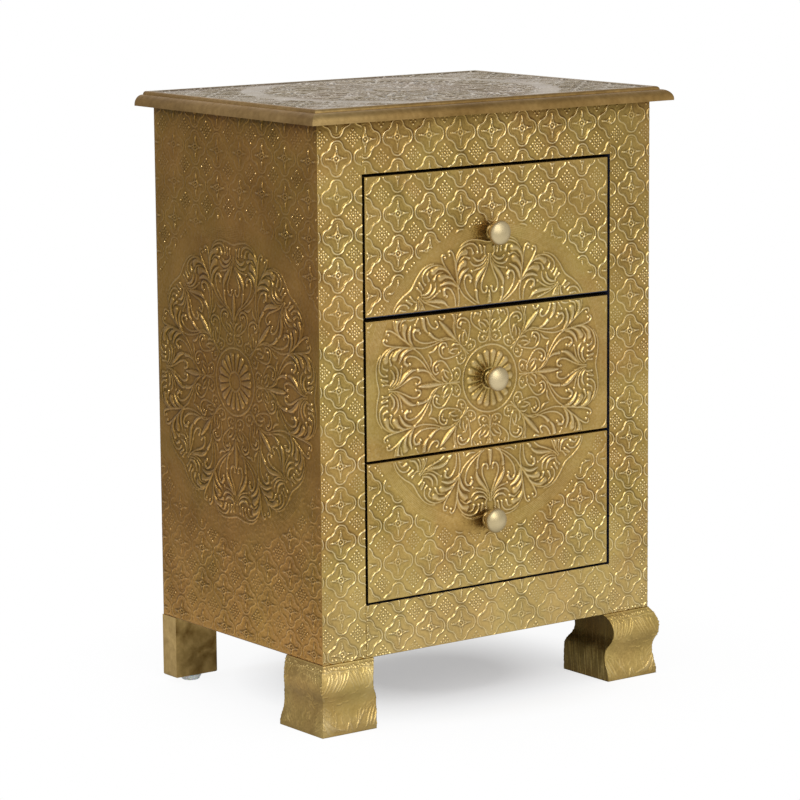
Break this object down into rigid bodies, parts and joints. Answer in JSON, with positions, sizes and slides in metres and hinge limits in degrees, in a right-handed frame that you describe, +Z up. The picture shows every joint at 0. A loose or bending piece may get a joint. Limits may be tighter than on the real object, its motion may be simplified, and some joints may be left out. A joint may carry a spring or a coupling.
{
  "type": "brass clad bedside chest of drawers",
  "caption": "Bedside chest clad in embossed brass sheet, with stacked drawers on wooden runners, mitred top moulding, ogee front feet and plank back legs.",
  "frame": {"origin": "on the floor, at the middle of the whole chest seen from above, knobs and top overhang included", "axes": "+Z up, +X to the right of someone facing the drawers, -Y towards that person, the way the drawers open"},
  "size_m": [0.448, 0.313, 0.61],
  "materials": {
    "embossed_brass": "thin embossed brass sheet, antiqued, dull in the hollows and bright on the raised lines",
    "plain_brass": "plain folded brass sheet, satin",
    "foot_brass": "sawn timber foot clad in loosely embossed brass sheet",
    "knob_brass": "pale satin cast brass",
    "case_wood": "plain dark stained timber",
    "drawer_wood": "plain planed timber",
    "plywood": "thin plywood",
    "glide_plastic": "translucent white plastic",
    "screw_steel": "zinc plated steel"
  },
  "bodies": {
    "carcass": {"side_panel_left": "case_wood", "side_panel_right": "case_wood", "front_stile_left": "case_wood", "front_stile_right": "case_wood", "front_rail_bottom": "case_wood", "front_rail_top": "case_wood", "back_post_left": "case_wood", "back_post_right": "case_wood", "bottom_board": "case_wood", "back_panel": "plywood", "front_foot_left": "foot_brass", "front_foot_right": "foot_brass", "foot_screws": "screw_steel", "back_leg_wrap_left": "plain_brass", "back_leg_wrap_right": "plain_brass", "leg_glides": "glide_plastic", "side_sheet_left": "embossed_brass", "side_sheet_right": "embossed_brass", "stile_sheet_left": "embossed_brass", "stile_sheet_right": "embossed_brass", "rail_sheet_bottom": "embossed_brass", "rail_sheet_top": "embossed_brass", "top_board": "case_wood", "top_sheet": "embossed_brass", "top_moulding_front": "plain_brass", "top_moulding_left": "plain_brass", "top_moulding_right": "plain_brass", "runner_bottom_left": "drawer_wood", "runner_bottom_right": "drawer_wood", "runner_middle_left": "drawer_wood", "runner_middle_right": "drawer_wood", "runner_top_left": "drawer_wood", "runner_top_right": "drawer_wood"},
    "drawer_bottom": {"drawer_front_bottom": "drawer_wood", "drawer_sheet_bottom": "embossed_brass", "drawer_side_bottom_left": "drawer_wood", "drawer_side_bottom_right": "drawer_wood", "drawer_back_bottom": "drawer_wood", "drawer_base_bottom": "plywood", "knob_bottom": "knob_brass", "knob_screw_bottom": "screw_steel"},
    "drawer_middle": {"drawer_front_middle": "drawer_wood", "drawer_sheet_middle": "embossed_brass", "drawer_side_middle_left": "drawer_wood", "drawer_side_middle_right": "drawer_wood", "drawer_back_middle": "drawer_wood", "drawer_base_middle": "plywood", "knob_middle": "knob_brass", "knob_screw_middle": "screw_steel"},
    "drawer_top": {"drawer_front_top": "drawer_wood", "drawer_sheet_top": "embossed_brass", "drawer_side_top_left": "drawer_wood", "drawer_side_top_right": "drawer_wood", "drawer_back_top": "drawer_wood", "drawer_base_top": "plywood", "knob_top": "knob_brass", "knob_screw_top": "screw_steel"}
  },
  "joints": [
    {"name": "drawer_bottom_slide", "type": "slide", "parent": "carcass", "child": "drawer_bottom", "axis": [0, -1, 0], "range_m": [0, 0.2]},
    {"name": "drawer_middle_slide", "type": "slide", "parent": "carcass", "child": "drawer_middle", "axis": [0, -1, 0], "range_m": [0, 0.2]},
    {"name": "drawer_top_slide", "type": "slide", "parent": "carcass", "child": "drawer_top", "axis": [0, -1, 0], "range_m": [0, 0.2]}
  ]
}
